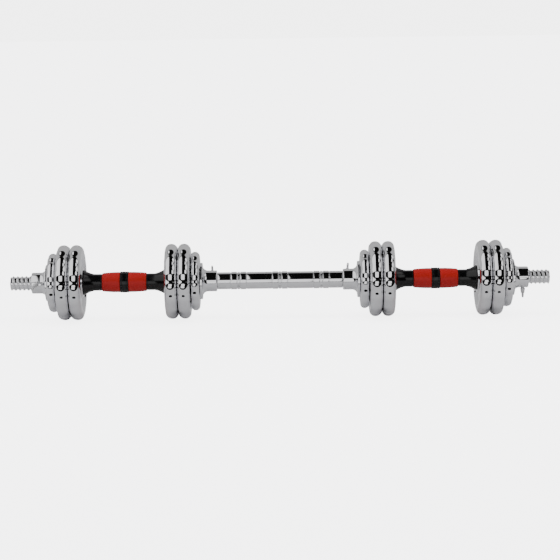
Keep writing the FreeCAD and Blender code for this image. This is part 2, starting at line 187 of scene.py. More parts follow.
class RodSettings(bpy.types.PropertyGroup):
    radius: length("Radius", 0.015, "Radius of the rod between its bands")
    band_width: length("Band width", 0.0265, "Width of a raised band")
    band_spacing: length("Band spacing", 0.0725, "Distance between the bands' middles")
    groove_width: length("Groove width", 0.0012, "Width of the grooves beside a band")
    groove_depth: length("Groove depth", 0.0007, "Depth of the grooves beside a band")
    bead_width: length("Bead width", 0.004, "Width of the knurled bead in a band")
    chamfer: length("Chamfer", 0.001, "Chamfer of the rod's ends")
    socket: length("Socket depth", 0.042, "Depth of the threaded sockets")
    relief: length("Relief", 0.009, "Length of the plain room behind a socket's thread")
    relief_gap: length("Relief gap", 0.00005, "Room of the relief outside the thread")
    inner: length("Inner radius", 0.01, "Radius of the hollow between the sockets")
    bead_drop: length("Bead drop", 0.0004, "How far the beads lie under the bands")


class FinishSettings(bpy.types.PropertyGroup):
    chrome: colour("Chrome", (0.86, 0.86, 0.88), "Chrome plating")
    steel: colour("Steel", (0.60, 0.59, 0.58), "Turned steel")
    zinc: colour("Zinc", (0.78, 0.78, 0.79), "Bright zinc of the wing screws")
    red: colour("Red rubber", (0.42, 0.003, 0.002), "Grip sleeves")
    plastic: colour("Black plastic", (0.003, 0.003, 0.0033), "Flares and bands")
    rubber: colour("Black rubber", (0.018, 0.018, 0.02), "Washers")


class StudioSettings(bpy.types.PropertyGroup):
    floor: colour("Floor", (0.90, 0.90, 0.91), "Floor")
    glow: strength("Floor glow", 5.0, "Light of the floor's own")
    backdrop: strength("Backdrop", 6.0, "Brightness of the wall behind the floor")
    fill: strength("Fill light", 0.95, "Light from all round")
    reach: length("Floor reach", 40, "Half the width of the floor")
    near_floor: length("Near floor", 0.162, "How far before the axis the mirrored floor reaches")
    distance: length("Camera distance", 3.1, "Distance of the camera from the bars' axis")
    elevation: angle("Camera height", 8.5, "Height of the camera above the horizon")
    roll: angle("Camera roll", 0.75, "Roll of the camera")
    view: angle("Field of view", 18.05, "Field of view of the camera")
    key: strength("Key light", 14, "Power of the overhead light in watts")


# ---------------------------------------------------------------- meshes

def rounded(corners, closed=True, steps=5):
    """Points of an outline whose corners (x, r, rounding) become arcs."""
    points = []
    last = len(corners) - 1
    for index, corner in enumerate(corners):
        here = Vector(corner[:2])
        size = corner[2] if len(corner) > 2 else 0
        if size == 0 or (not closed and index in (0, last)):
            points.append(here)
            continue
        before = Vector(corners[index - 1][:2]) - here
        after = Vector(corners[(index + 1) % len(corners)][:2]) - here
        half = before.angle(after) / 2
        reach = min(size / math.tan(half), 0.499 * before.length, 0.499 * after.length)
        radius = reach * math.tan(half)
        toward = (before.normalized() + after.normalized()).normalized()
        centre = here + toward * (radius / math.sin(half))
        start = here + before.normalized() * reach - centre
        end = here + after.normalized() * reach - centre
        turn = start.angle_signed(end)
        for step in range(steps + 1):
            spoke = start.copy()
            spoke.rotate(Matrix.Rotation(-turn * step / steps, 2))
            points.append(centre + spoke)
    return [(p[0], p[1]) for p in points]


def arc(start, end, bulge, steps):
    """Points of an arc from start to end, standing out by bulge to its left."""
    first = Vector(start)
    chord = Vector(end) - first
    left = Vector((-chord.y, chord.x)).normalized()
    radius = (chord.length ** 2 / 4 + bulge ** 2) / (2 * abs(bulge))
    side = math.copysign(1, bulge)
    centre = first + chord / 2 - left * side * (radius - abs(bulge))
    opening = 2 * math.asin(chord.length / 2 / radius)
    points = []
    for step in range(steps + 1):
        spoke = first - centre
        spoke.rotate(Matrix.Rotation(-side * opening * step / steps, 2))
        points.append(tuple(centre + spoke))
    return points


def subdivided(start, end, size):
    """Points from start to end no further apart than size, without end."""
    run = math.dist(start, end)
    steps = max(1, math.ceil(run / size))
    return [tuple(Vector(start).lerp(Vector(end), k / steps)) for k in range(steps)]


def lathe(name, outline, segments, closed=True):
    """Mesh of an outline of (x, r) points turned about X."""
    mesh = bmesh.new()
    rings = []
    for x, r in outline:
        if r < 1e-7:
            rings.append([mesh.verts.new((x, 0, 0))])
            continue
        ring = []
        for step in range(segments):
            turn = 2 * math.pi * step / segments
            ring.append(mesh.verts.new((x, -r * math.sin(turn), r * math.cos(turn))))
        rings.append(ring)
    following = rings[1:] + rings[:1] if closed else rings[1:]
    for near, far in zip(rings, following):
        for step in range(segments):
            ahead = (step + 1) % segments
            if len(near) == 1 and len(far) == 1:
                break
            if len(near) == 1:
                mesh.faces.new((near[0], far[step], far[ahead]))
            elif len(far) == 1:
                mesh.faces.new((near[step], far[0], near[ahead]))
            else:
                mesh.faces.new((near[step], far[step], far[ahead], near[ahead]))
    bmesh.ops.remove_doubles(mesh, verts=mesh.verts, dist=1e-7)
    bmesh.ops.recalc_face_normals(mesh, faces=mesh.faces)
    data = bpy.data.meshes.new(name)
    mesh.to_mesh(data)
    mesh.free()
    return data


def joined(name, meshes):
    """One mesh of several."""
    whole = bmesh.new()
    for mesh in meshes:
        whole.from_mesh(mesh)
    data = bpy.data.meshes.new(name)
    whole.to_mesh(data)
    whole.free()
    for mesh in meshes:
        bpy.data.meshes.remove(mesh)
    return data


def end_place(end, x):
    """Where a bar end's frame stands, moved out to x in the row."""
    turn = Matrix.Rotation(0 if ENDS[end] > 0 else math.pi, 4, "Z")
    return Matrix.Translation((x, 0, AXIS_HEIGHT)) @ turn


def inner_face(end, node):
    """The row's X of the face of a node that is nearest the bar's middle."""
    return low(node).x if ENDS[end] > 0 else high(node).x


def finish_piece(name, mesh, place, material, nodes, sharp=35):
    """Stand a mesh in the row, shade it and hang it on its body."""
    mesh.transform(place)
    mesh.shade_smooth()
    mesh.set_sharp_from_angle(angle=math.radians(sharp))
    mesh.materials.clear()
    mesh.materials.append(material)
    piece = bpy.data.objects.new(name, mesh)
    bpy.context.scene.collection.objects.link(piece)
    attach(piece, NODE_BODY[nodes[0]])
    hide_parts(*nodes)
    return piece


# ---------------------------------------------------------------- node trees

class Socket:
    """An output socket that Python arithmetic turns into Math nodes."""

    def __init__(self, tree, socket):
        self.tree = tree
        self.socket = socket


def maths_method(operation, *fixed, swapped=False):
    """A method of Socket that adds one Math node."""
    def method(self, *others):
        values = (*others, self) if swapped else (self, *others, *fixed)
        return self.tree.add(self.tree.maths, {"operation": operation}, values)
    return method


for method_name, method_operation in {
        "add": "ADD", "radd": "ADD", "sub": "SUBTRACT", "mul": "MULTIPLY", "rmul": "MULTIPLY",
        "truediv": "DIVIDE", "lt": "LESS_THAN", "abs": "ABSOLUTE"}.items():
    setattr(Socket, f"__{method_name}__", maths_method(method_operation))
Socket.__rsub__ = maths_method("SUBTRACT", swapped=True)
Socket.__neg__ = maths_method("MULTIPLY", -1)


class Tree:
    """Adds nodes to a node tree."""

    maths = "ShaderNodeMath"

    def __init__(self, nodes_tree):
        self.nodes_tree = nodes_tree

    def node(self, kind, settings=None, values=()):
        """A node with its settings made first and then its inputs, in order or by name."""
        node = self.nodes_tree.nodes.new(kind)
        for key, value in (settings or {}).items():
            setattr(node, key, value)
        pairs = values.items() if isinstance(values, dict) else enumerate(values)
        for key, value in pairs:
            if value is None:
                continue
            if isinstance(value, Socket):
                self.nodes_tree.links.new(value.socket, node.inputs[key])
            else:
                node.inputs[key].default_value = value
        return node

    def add(self, kind, settings=None, values=(), output=0):
        """The same, returning one output as a Socket."""
        return Socket(self, self.node(kind, settings, values).outputs[output])

    def call(self, operation, *values):
        return self.add(self.maths, {"operation": operation}, values)

    def smooth(self, value, start, end, low_value=0.0, high_value=1.0):
        """A smooth step of value between start and end."""
        return self.add("ShaderNodeMapRange", {"interpolation_type": "SMOOTHSTEP"},
                        {"Value": value, "From Min": start, "From Max": end,
                         "To Min": low_value, "To Max": high_value})


class Modelling(Tree):
    """A Geometry Nodes tree with a geometry input, named sizes and one output."""

    def __init__(self, name, sizes):
        super().__init__(bpy.data.node_groups.new(name, "GeometryNodeTree"))
        face = self.nodes_tree.interface
        face.new_socket("Geometry", in_out="INPUT", socket_type="NodeSocketGeometry")
        self.identifiers = {}
        for size_name, kind in sizes.items():
            socket = face.new_socket(size_name, in_out="INPUT", socket_type=f"NodeSocket{kind}")
            self.identifiers[size_name] = socket.identifier
        face.new_socket("Geometry", in_out="OUTPUT", socket_type="NodeSocketGeometry")
        self.start = self.nodes_tree.nodes.new("NodeGroupInput")
        self.geometry = Socket(self, self.start.outputs["Geometry"])

    def size(self, name):
        return Socket(self, self.start.outputs[name])

    def close(self, geometry):
        """End the tree in Realize Instances and Set Material."""
        real = self.add("GeometryNodeRealizeInstances", values={"Geometry": geometry})
        painted = self.add("GeometryNodeSetMaterial",
                           values={"Geometry": real, "Material": self.size("Finish")})
        end = self.nodes_tree.nodes.new("NodeGroupOutput")
        self.nodes_tree.links.new(painted.socket, end.inputs["Geometry"])

    def apply(self, mesh, sizes):
        """The mesh that the tree makes of a mesh, with its sizes set."""
        carrier = bpy.data.objects.new(mesh.name, mesh)
        bpy.context.scene.collection.objects.link(carrier)
        modifier = carrier.modifiers.new("Nodes", "NODES")
        modifier.node_group = self.nodes_tree
        for name, value in sizes.items():
            modifier[self.identifiers[name]] = value
        bpy.context.view_layer.update()
        evaluated = carrier.evaluated_get(bpy.context.evaluated_depsgraph_get())
        made = bpy.data.meshes.new_from_object(evaluated)
        carrier.modifiers.remove(modifier)
        bpy.data.objects.remove(carrier)
        bpy.data.meshes.remove(mesh)
        return made


def polar(tree):
    """Position split into its x, y, z and its distance from the X axis."""
    place = tree.add("GeometryNodeInputPosition")
    split = tree.node("ShaderNodeSeparateXYZ", values=(place,))
    x, y, z = (Socket(tree, split.outputs[k]) for k in range(3))
    radius = tree.call("MAXIMUM", tree.call("SQRT", y * y + z * z), 1e-6)
    return x, y, z, radius


def moved_to_radius(tree, y, z, radius, wanted):
    """The geometry with each point moved square to the X axis to a new radius."""
    push = wanted / radius - 1
    offset = tree.add("ShaderNodeCombineXYZ", values=(0.0, y * push, z * push))
    return tree.add("GeometryNodeSetPosition",
                    values={"Geometry": tree.geometry, "Offset": offset})


def scallop_tree():
    """Waves the rim of a plate: a lobe at +Z and every share of a turn from it."""
    tree = Modelling("Scalloped rim", {"Lobes": "Float", "Depth": "Float", "From": "Float",
                                       "To": "Float", "Finish": "Material"})
    x, y, z, radius = polar(tree)
    turn = tree.call("ARCTAN2", y, z)
    wave = (1 - tree.call("COSINE", turn * tree.size("Lobes"))) * tree.size("Depth") * 0.5
    weight = tree.smooth(radius, tree.size("From"), tree.size("To"))
    tree.close(moved_to_radius(tree, y, z, radius, radius - wave * weight))
    return tree


def thread_tree():
    """Lifts a right-hand helical ridge on a turned piece, or cuts its like in a bore.

    The ridge crosses the +Z half plane where the distance along the bar end,
    Along + Way * |x|, is a whole number of pitches.
    """
    tree = Modelling("Round thread", {
        "Pitch": "Float", "Root": "Float", "Crest": "Float", "Top": "Float", "Base": "Float",
        "Along": "Float", "Way": "Float", "From": "Float", "To": "Float",
        "Within": "Float", "Inside": "Float", "Finish": "Material"})
    x, y, z, radius = polar(tree)
    way = tree.size("Way")
    half = tree.call("SIGN", x + 1e-7) * way
    turn = tree.call("ARCTAN2", -(y * half), z) / (2 * math.pi)
    along = tree.size("Along") + abs(x) * way
    phase = along / tree.size("Pitch") - turn + 0.5
    off = abs(tree.call("FRACT", phase) - 0.5) * tree.size("Pitch")
    ridge = tree.smooth(off, tree.size("Top") * 0.5, tree.size("Base") * 0.5, 1.0, 0.0)
    run_in = tree.smooth(along, tree.size("From") - 0.001, tree.size("From") + 0.001)
    run_out = tree.smooth(along, tree.size("To") - 0.001, tree.size("To") + 0.001, 1.0, 0.0)
    root = tree.size("Root")
    wanted = root + (tree.size("Crest") - root) * ridge
    outside = tree.call("MINIMUM", radius, wanted)
    inside = tree.call("MAXIMUM", radius, wanted)
    chosen = outside + (inside - outside) * tree.size("Inside")
    active = run_in * run_out * (radius < tree.size("Within"))
    tree.close(moved_to_radius(tree, y, z, radius, radius + (chosen - radius) * active))
    return tree


def knurl_tree():
    """Adds rows of small points round a turned surface, each row half a step on."""
    tree = Modelling("Knurl", {
        "Radius": "Float", "End radius": "Float", "Bulge": "Float", "Start": "Float",
        "Length": "Float", "Rows": "Int", "Around": "Int", "Point radius": "Float",
        "Point height": "Float", "Sides": "Int", "Finish": "Material"})
    rows, around = tree.size("Rows"), tree.size("Around")
    points = tree.add("GeometryNodePoints", values={"Count": tree.call("MULTIPLY", rows, around)})
    index = tree.add("GeometryNodeInputIndex")
    row = tree.call("FLOOR", (index + 0.5) / around)
    column = index - row * around
    share_along = (row + 0.5) / rows
    turn = (column + row * 0.5) / around * (2 * math.pi)
    bow = share_along * (1 - share_along) * 4 * tree.size("Bulge")
    first = tree.size("Radius")
    radius = first + (tree.size("End radius") - first) * share_along + bow
    sine, cosine = tree.call("SINE", turn), tree.call("COSINE", turn)
    place = tree.add("ShaderNodeCombineXYZ", values=(
        tree.size("Start") + tree.size("Length") * share_along, radius * sine, radius * cosine))
    outwards = tree.add("ShaderNodeCombineXYZ", values=(0.0, sine, cosine))
    placed = tree.add("GeometryNodeSetPosition", values={"Geometry": points, "Position": place})
    point = tree.add("GeometryNodeMeshCone", {"fill_type": "NONE"}, {
        "Vertices": tree.size("Sides"), "Radius Top": 0.0,
        "Radius Bottom": tree.size("Point radius"), "Depth": tree.size("Point height") * 1.6})
    sunk = tree.add("GeometryNodeTransform", values={
        "Geometry": point,
        "Translation": tree.add("ShaderNodeCombineXYZ",
                                values=(0.0, 0.0, tree.size("Point height") * -0.6))})
    aim = tree.add("FunctionNodeAlignRotationToVector", {"axis": "Z"}, {"Vector": outwards})
    studs = tree.add("GeometryNodeInstanceOnPoints",
                     values={"Points": placed, "Instance": sunk, "Rotation": aim})
    whole = tree.node("GeometryNodeJoinGeometry")
    tree.nodes_tree.links.new(studs.socket, whole.inputs[0])
    tree.nodes_tree.links.new(tree.geometry.socket, whole.inputs[0])
    tree.close(Socket(tree, whole.outputs[0]))
    return tree


# ---------------------------------------------------------------- materials

class Finish(Tree):
    """A material whose Principled shader takes patterns on Object coordinates."""

    def __init__(self, name, constants):
        self.material = bpy.data.materials.new(name)
        self.material.use_nodes = True
        super().__init__(self.material.node_tree)
        self.shader = self.nodes_tree.nodes["Principled BSDF"]
        for key, value in constants.items():
            self.shader.inputs[key].default_value = value
        self.place = self.add("ShaderNodeTexCoord", output=3)

    def noise(self, scale, detail=3.0, roughness=0.5, place=None):
        return self.add("ShaderNodeTexNoise", values={
            "Vector": place or self.place, "Scale": scale, "Detail": detail,
            "Roughness": roughness})

    def stretched(self, x, y, z):
        """Object coordinates centred on the bars' axis and scaled on each axis."""
        return self.add("ShaderNodeMapping", values={
            "Vector": self.place, "Location": (0, 0, -AXIS_HEIGHT * z), "Scale": (x, y, z)})

    def mix(self, factor, first, second):
        node = self.node("ShaderNodeMix", {"data_type": "RGBA"})
        self.nodes_tree.links.new(factor.socket, node.inputs["Factor"])
        for key, value in ((6, first), (7, second)):
            if isinstance(value, Socket):
                self.nodes_tree.links.new(value.socket, node.inputs[key])
            else:
                node.inputs[key].default_value = (*value, 1)
        return Socket(self, node.outputs[2])

    def feed(self, key, value):
        self.nodes_tree.links.new(value.socket, self.shader.inputs[key])

    def bump(self, height, distance, strength=1.0, below=None):
        return self.add("ShaderNodeBump", values={
            "Strength": strength, "Distance": distance, "Height": height, "Normal": below})


def shaded(tint, factor):
    return tuple(min(1, value * factor) for value in tint)


def chrome_finish(name, tint, roughness, waviness):
    """Plated metal: mirror bright, with faint haze, rub marks and a slow ripple."""
    finish = Finish(name, {"Metallic": 1.0, "Specular IOR Level": 0.5})
    haze = finish.noise(18.0, 4.0, 0.6)
    finish.feed("Base Color", finish.mix(haze, shaded(tint, 0.96), tint))
    marks = finish.noise(900.0, 2.0, 0.5, finish.stretched(0.06, 1, 1))
    rub = finish.smooth(marks, 0.55, 0.8, 0.0, 1.0)
    finish.feed("Roughness", haze * roughness * 0.8 + rub * roughness * 0.6 + roughness * 0.5)
    ripple = finish.noise(55.0, 1.0)
    fine = finish.noise(1600.0, 2.0)
    finish.feed("Normal", finish.bump(fine, 0.00001, 0.12,
                                      finish.bump(ripple, waviness, 1.0)))
    return finish.material


def steel_finish(name, tint):
    """Turned steel: fine rings round the axis."""
    finish = Finish(name, {"Metallic": 1.0})
    rings = finish.noise(1200.0, 2.0, 0.5, finish.stretched(1, 0.03, 0.03))
    cloud = finish.noise(60.0)
    finish.feed("Base Color", finish.mix(cloud, shaded(tint, 0.8), tint))
    finish.feed("Roughness", rings * 0.2 + cloud * 0.1 + 0.22)
    finish.feed("Normal", finish.bump(rings, 0.00003, 0.5))
    return finish.material


def zinc_finish(tint):
    """Bright zinc on a small casting: soft grain, and cloudy patches that are darker where they are
    glossier.
    """
    finish = Finish("Bright zinc", {"Metallic": 1.0})
    cloud = finish.noise(220.0, 4.0, 0.6)
    grain = finish.noise(2600.0, 3.0)
    finish.feed("Base Color", finish.mix(cloud, shaded(tint, 0.78), tint))
    finish.feed("Roughness", cloud * 0.16 + 0.1)
    finish.feed("Normal", finish.bump(grain, 0.00004, 0.35))
    return finish.material


def plastic_finish(tint):
    """Glossy moulded plastic with a faint flow pattern and handling marks."""
    finish = Finish("Black plastic", {"Specular IOR Level": 0.3, "Coat Roughness": 0.05,
                                      "Coat IOR": 1.5, "Coat Weight": 0.12})
    flow = finish.noise(90.0, 3.0, 0.6, finish.stretched(1, 0.4, 0.4))
    marks = finish.smooth(finish.noise(420.0, 5.0, 0.7), 0.52, 0.75)
    finish.feed("Base Color", finish.mix(marks, tint, shaded(tint, 2.2)))
    finish.feed("Roughness", flow * 0.12 + marks * 0.1 + 0.13)
    finish.feed("Normal", finish.bump(flow, 0.00008, 0.25))
    return finish.material


def red_finish(tint):
    """Soft moulded rubber: a fine grain, paler where it is rubbed."""
    finish = Finish("Red rubber", {"Specular IOR Level": 0.35})
    cloud = finish.noise(70.0, 4.0, 0.6)
    grain = finish.add("ShaderNodeTexVoronoi", {"feature": "F1"},
                       {"Vector": finish.place, "Scale": 1500.0})
    finish.feed("Base Color", finish.mix(cloud, shaded(tint, 0.86), shaded(tint, 1.12)))
    finish.feed("Roughness", cloud * 0.12 + 0.36)
    finish.feed("Normal", finish.bump(grain, 0.00006, 0.4))
    return finish.material


def rubber_finish(tint):
    """Dull pressed rubber with a dusty bloom."""
    finish = Finish("Black rubber", {"Specular IOR Level": 0.35})
    bloom = finish.smooth(finish.noise(160.0, 5.0, 0.65), 0.45, 0.8)
    grain = finish.noise(2200.0, 2.0)
    finish.feed("Base Color", finish.mix(bloom, tint, shaded(tint, 2.4)))
    finish.feed("Roughness", bloom * 0.15 + 0.6)
    finish.feed("Normal", finish.bump(grain, 0.00005, 0.5))
    return finish.material


MAKERS = {
    "Plate chrome": lambda f: chrome_finish("Plate chrome", f.chrome, 0.035, 0.00012),
    "Polished chrome": lambda f: chrome_finish("Polished chrome", f.chrome, 0.05, 0.00004),
    "Thread chrome": lambda f: chrome_finish("Thread chrome", f.chrome, 0.11, 0.00004),
    "Turned steel": lambda f: steel_finish("Turned steel", f.steel),
    "Bright zinc": lambda f: zinc_finish(f.zinc),
    "Black plastic": lambda f: plastic_finish(f.plastic),
    "Red rubber": lambda f: red_finish(f.red),
    "Black rubber": lambda f: rubber_finish(f.rubber),
}


def finish_named(name):
    """A finish, made the first time that it is asked for."""
    if name in bpy.data.materials:
        return bpy.data.materials[name]
    return MAKERS[name](bpy.context.scene.dumbbell_finish)


# ---------------------------------------------------------------- pieces

def plate_mesh(kind, radius, width):
    """A plate about its axis, its inner face at x = 0."""
    s = bpy.context.scene.dumbbell_plate
    dish = getattr(s, f"{kind}_dish")
    boss = getattr(s, f"{kind}_boss")
    rim = getattr(s, f"{kind}_rim")
    soft = 0.0012
    half = [
        (s.bore, 0, 0.0006), (boss, 0, soft), (boss + s.dish_slope, s.dish_depth, soft),
        (dish - s.dish_slope, s.dish_depth, soft), (dish, 0, soft),
    ]
    inner = [(x, r, size) for r, x, size in half]
    outer = [(width - x, r, size) for r, x, size in reversed(half)]
    face = rounded([(width / 2, s.bore)] + inner + [(0, radius - rim)], closed=False)
    back = rounded([(width, radius - rim)] + outer + [(width / 2, s.bore)], closed=False)
    curve = []
    steps = 22
    flat = width / 2 - rim
    for step in range(1, steps):
        turn = math.pi * step / steps
        middle_x = rim if turn < math.pi / 2 else rim + 2 * flat
        curve.append((middle_x - rim * math.cos(turn), radius - rim + rim * math.sin(turn)))
    outline = face + curve + back[:-1]
    mesh = lathe(f"{kind} plate", outline, 16 * s.lobes)
    return scallop_tree().apply(mesh, {
        "Lobes": float(s.lobes), "Depth": s.lobe_depth, "From": radius - rim - 0.004,
        "To": radius - rim + 0.001, "Finish": finish_named("Plate chrome")})


class DUMBBELL_OT_plates(bpy.types.Operator):
    """Make the twelve scalloped weight plates"""
    bl_idname = "dumbbell.plates"
    bl_label = "Weight plates"

    def execute(self, context):
        for kind, names in (("large", ("large_plate_1", "large_plate_2")),
                            ("small", ("small_plate",))):
            sample = f"right_outer_{names[0]}"
            master = plate_mesh(kind, span(sample, 2) / 2, span(sample, 0))
            for end in ENDS:
                for name in names:
                    node = f"{end}_{name}"
                    finish_piece(f"{node}_chromed", master.copy(),
                                 end_place(end, inner_face(end, node)),
                                 finish_named("Plate chrome"), [node])
        return {"FINISHED"}


def thread_sizes(s, **changes):
    """The thread's sizes for the thread tree, on the outside of a bar."""
    sizes = {"Pitch": s.pitch, "Root": s.root, "Crest": s.crest, "Top": s.ridge_top,
             "Base": s.ridge_base, "Along": 0.0, "Way": 1.0, "From": 0.0, "To": 1.0,
             "Within": 1.0, "Inside": 0.0, "Finish": finish_named("Thread chrome")}
    sizes.update(changes)
    return sizes


def female_sizes(s, **changes):
    """The same for a bore that takes the bar."""
    wider = 2 * s.clearance
    return thread_sizes(s, Root=s.bore, Crest=s.crest + s.clearance,
                        Top=s.ridge_top + wider, Base=s.ridge_base + wider, Inside=1.0,
                        Within=0.0135, Finish=finish_named("Polished chrome"), **changes)


class DUMBBELL_OT_bars(bpy.types.Operator):
    """Make the two bars with a coarse round thread at each end"""
    bl_idname = "dumbbell.bars"
    bl_label = "Threaded bars"

    def execute(self, context):
        s = context.scene.dumbbell_thread
        for side in SIDES:
            node = f"{side}_threaded_bar"
            tip = span(node, 0) / 2
            crest = span(node, 2) / 2
            grip_end = abs(inner_face(f"{side}_outer", f"{side}_outer_large_plate_1")
                           - middle(node, 0))
            half = [(tip, 0), (tip, crest - s.chamfer * 1.4),
                    (tip - s.chamfer * 0.4, crest - s.chamfer * 0.6)]
            half += subdivided((tip - s.chamfer, crest), (grip_end, crest), 0.00045)
            half += [(grip_end, crest), (grip_end - 0.0005, s.plain)]
            other = [(-x, r) for x, r in reversed(half)]
            mesh = lathe(node, half + other, 72, closed=False)
            made = thread_tree().apply(mesh, thread_sizes(s, Crest=crest, From=grip_end))
            place = Matrix.Translation((middle(node, 0), 0, AXIS_HEIGHT))
            finish_piece(f"{node}_turned", made, place, finish_named("Thread chrome"),
                         [node], 50)
        return {"FINISHED"}


class DUMBBELL_OT_grips(bpy.types.Operator):
    """Make the bands, soft sleeves, glossy flares and stop rings of the grips"""
    bl_idname = "dumbbell.grips"
    bl_label = "Hand grips"

    def sleeve(self, s, bore, size):
        side = arc((0.0006, s.sleeve_wide), (size - 0.0006, s.sleeve_narrow), s.sleeve_bulge, 14)
        outline = [(0, bore), (0, s.sleeve_wide - 0.0006)] + side
        outline += [(size, s.sleeve_narrow - 0.0006), (size, bore)]
        mesh = lathe("Sleeve", outline, 96)
        rows = round(size / s.stud_pitch)
        around = round(2 * math.pi * s.sleeve_wide / s.stud_pitch)
        return knurl_tree().apply(mesh, {
            "Radius": s.sleeve_wide, "End radius": s.sleeve_narrow, "Bulge": s.sleeve_bulge,
            "Start": 0.001, "Length": size - 0.002, "Rows": rows, "Around": around,
            "Point radius": s.stud_pitch * 0.52, "Point height": s.stud_height, "Sides": 4,
            "Finish": finish_named("Red rubber")})

    def flare(self, s, bore, size, radius, ring_radius, ring_width):
        neck_end = s.neck_length
        curve_end = size - s.lip
        chord = math.dist((neck_end, s.neck), (curve_end, radius))
        bulge = math.sqrt(s.flare_curve ** 2 - chord ** 2 / 4) - s.flare_curve
        outline = rounded([(0, bore), (0, s.neck, 0.0006), (0.0016, s.neck, 0.0003),
                           (0.0018, s.neck - 0.0004, 0.0002), (0.0026, s.neck - 0.0004, 0.0002),
                           (0.0028, s.neck, 0.0003)], closed=False, steps=3)
        outline += arc((neck_end, s.neck), (curve_end, radius), bulge, 18)
        outline += rounded([(curve_end, radius), (size, radius, 0.0007), (size, ring_radius)],
                           closed=False, steps=5)[1:]
        outline += [(size - ring_width, ring_radius), (size - ring_width, bore)]
        return lathe("Flare", outline, 96)

    def band(self, s, bore, width, radius):
        half = width / 2
        groove = [(half - 0.0021, radius, 0.0003), (half - 0.0025, radius - s.band_groove, 0.0002),
                  (half - 0.0033, radius - s.band_groove, 0.0002), (half - 0.0037, radius, 0.0003)]
        side = [(half, bore), (half, radius, 0.0008)] + groove
        outline = rounded([(-x, *rest) for x, *rest in side]
                          + [(x, *rest) for x, *rest in reversed(side)], steps=4)
        return lathe("Band", outline, 96)

    def execute(self, context):
        s = context.scene.dumbbell_grip
        plain = context.scene.dumbbell_thread.plain + 0.00005
        for side in SIDES:
            node = f"{side}_grip_band"
            band = self.band(s, plain, span(node, 0), span(node, 2) / 2)
            finish_piece(f"{node}_moulded", band,
                         Matrix.Translation((middle(node, 0), 0, AXIS_HEIGHT)),
                         finish_named("Black plastic"), [node])
        for end in ENDS:
            sleeve, flare, ring = (f"{end}_{part}" for part in
                                   ("grip_sleeve", "grip_flare", "stop_ring"))
            finish_piece(f"{sleeve}_moulded", self.sleeve(s, plain, span(sleeve, 0)),
                         end_place(end, inner_face(end, sleeve)), finish_named("Red rubber"),
                         [sleeve], 60)
            made = self.flare(s, plain, span(flare, 0), span(flare, 2) / 2,
                              span(ring, 2) / 2 + 0.0003, span(ring, 0) + 0.0003)
            finish_piece(f"{flare}_moulded", made, end_place(end, inner_face(end, flare)),
                         finish_named("Black plastic"), [flare])
            outline = rounded([(0, plain, 0.0004), (0, span(ring, 2) / 2, 0.0006),
                               (span(ring, 0), span(ring, 2) / 2, 0.0006),
                               (span(ring, 0), plain, 0.0004)], steps=3)
            finish_piece(f"{ring}_turned", lathe("Stop ring", outline, 72),
                         end_place(end, inner_face(end, ring)), finish_named("Turned steel"),
                         [ring])
        return {"FINISHED"}


def screw_direction(end):
    """Which way out of the hub the wing screw of a bar end points."""
    node = f"{end}_wing_screw"
    out = Vector((0, middle(node, 1), middle(node, 2) - AXIS_HEIGHT))
    return out.normalized()


class DUMBBELL_OT_collars(bpy.types.Operator):
    """Make the four threaded collars and their rubber washers"""
    bl_idname = "dumbbell.collars"
    bl_label = "Collars and washers"

    def collar(self, s, thread, size, flange, washer, along):
        bore = thread.bore
        seat_radius = washer + s.seat_gap
        hub_start = s.flange_width + s.neck
        curve = [(s.flange_width, s.hub + s.neck)]
        curve += arc((s.flange_width, s.hub + s.neck), (hub_start, s.hub),
                     -s.neck * (1 - math.sqrt(0.5)), 14)[1:]
        floor = size - s.dish_depth
        inner = s.seat_depth + 0.001
        face = [(size, s.hub, s.hub_round), (size, s.dish, 0.0004),
                (floor, s.dish - 0.0022, 0.0006), (floor, bore + thread.lead)]
        mouth = subdivided((floor - thread.lead, bore), (inner, bore), 0.0004)
        seat = [(inner, bore), (s.seat_depth, bore + 0.001), (s.seat_depth, seat_radius)]
        rim = rounded([(s.seat_depth, seat_radius), (0, seat_radius, 0.0004),
                       (0, flange, s.rim_edge), (s.flange_width, flange, s.rim_edge),
                       (s.flange_width, s.hub + s.neck)], closed=False)[1:]
        outline = rim[:-1] + curve
        outline += rounded([(hub_start, s.hub)] + face, closed=False)[1:] + mouth + seat
        mesh = lathe("Collar", outline, 96)
        made = thread_tree().apply(mesh, female_sizes(
            thread, Along=along, To=along + floor - thread.lead, From=along + inner))
        knurled = s.flange_width - 2 * s.rim_edge
        return knurl_tree().apply(made, {
            "Radius": flange - 0.00015, "End radius": flange - 0.00015, "Bulge": 0.0,
            "Start": s.rim_edge, "Length": knurled, "Rows": round(knurled / s.knurl_pitch),
            "Around": round(2 * math.pi * flange / s.knurl_pitch),
            "Point radius": s.knurl_pitch * 0.6, "Point height": s.knurl_height * 0.5,
            "Sides": 4, "Finish": finish_named("Polished chrome")})

    def execute(self, context):
        s = context.scene.dumbbell_collar
        thread = context.scene.dumbbell_thread
        for end in ENDS:
            node = f"{end}_collar"
            x = inner_face(end, node)
            bar = middle(f"{end.split('_')[0]}_threaded_bar", 0)
            washer = f"{end}_rubber_washer"
            thickness, radius = span(washer, 0), span(washer, 2) / 2
            made = self.collar(s, thread, span(node, 0), span(node, 2) / 2, radius, abs(x - bar))
            finish_piece(f"{node}_turned", made, end_place(end, x),
                         finish_named("Polished chrome"), [node], 40)
            outline = rounded([(0, s.washer_bore, 0.0008), (0, radius, 0.0009),
                               (thickness, radius, 0.0009), (thickness, s.washer_bore, 0.0008)])
            finish_piece(f"{washer}_moulded", lathe("Washer", outline, 96),
                         end_place(end, inner_face(end, washer)), finish_named("Black rubber"),
                         [washer])
        return {"FINISHED"}


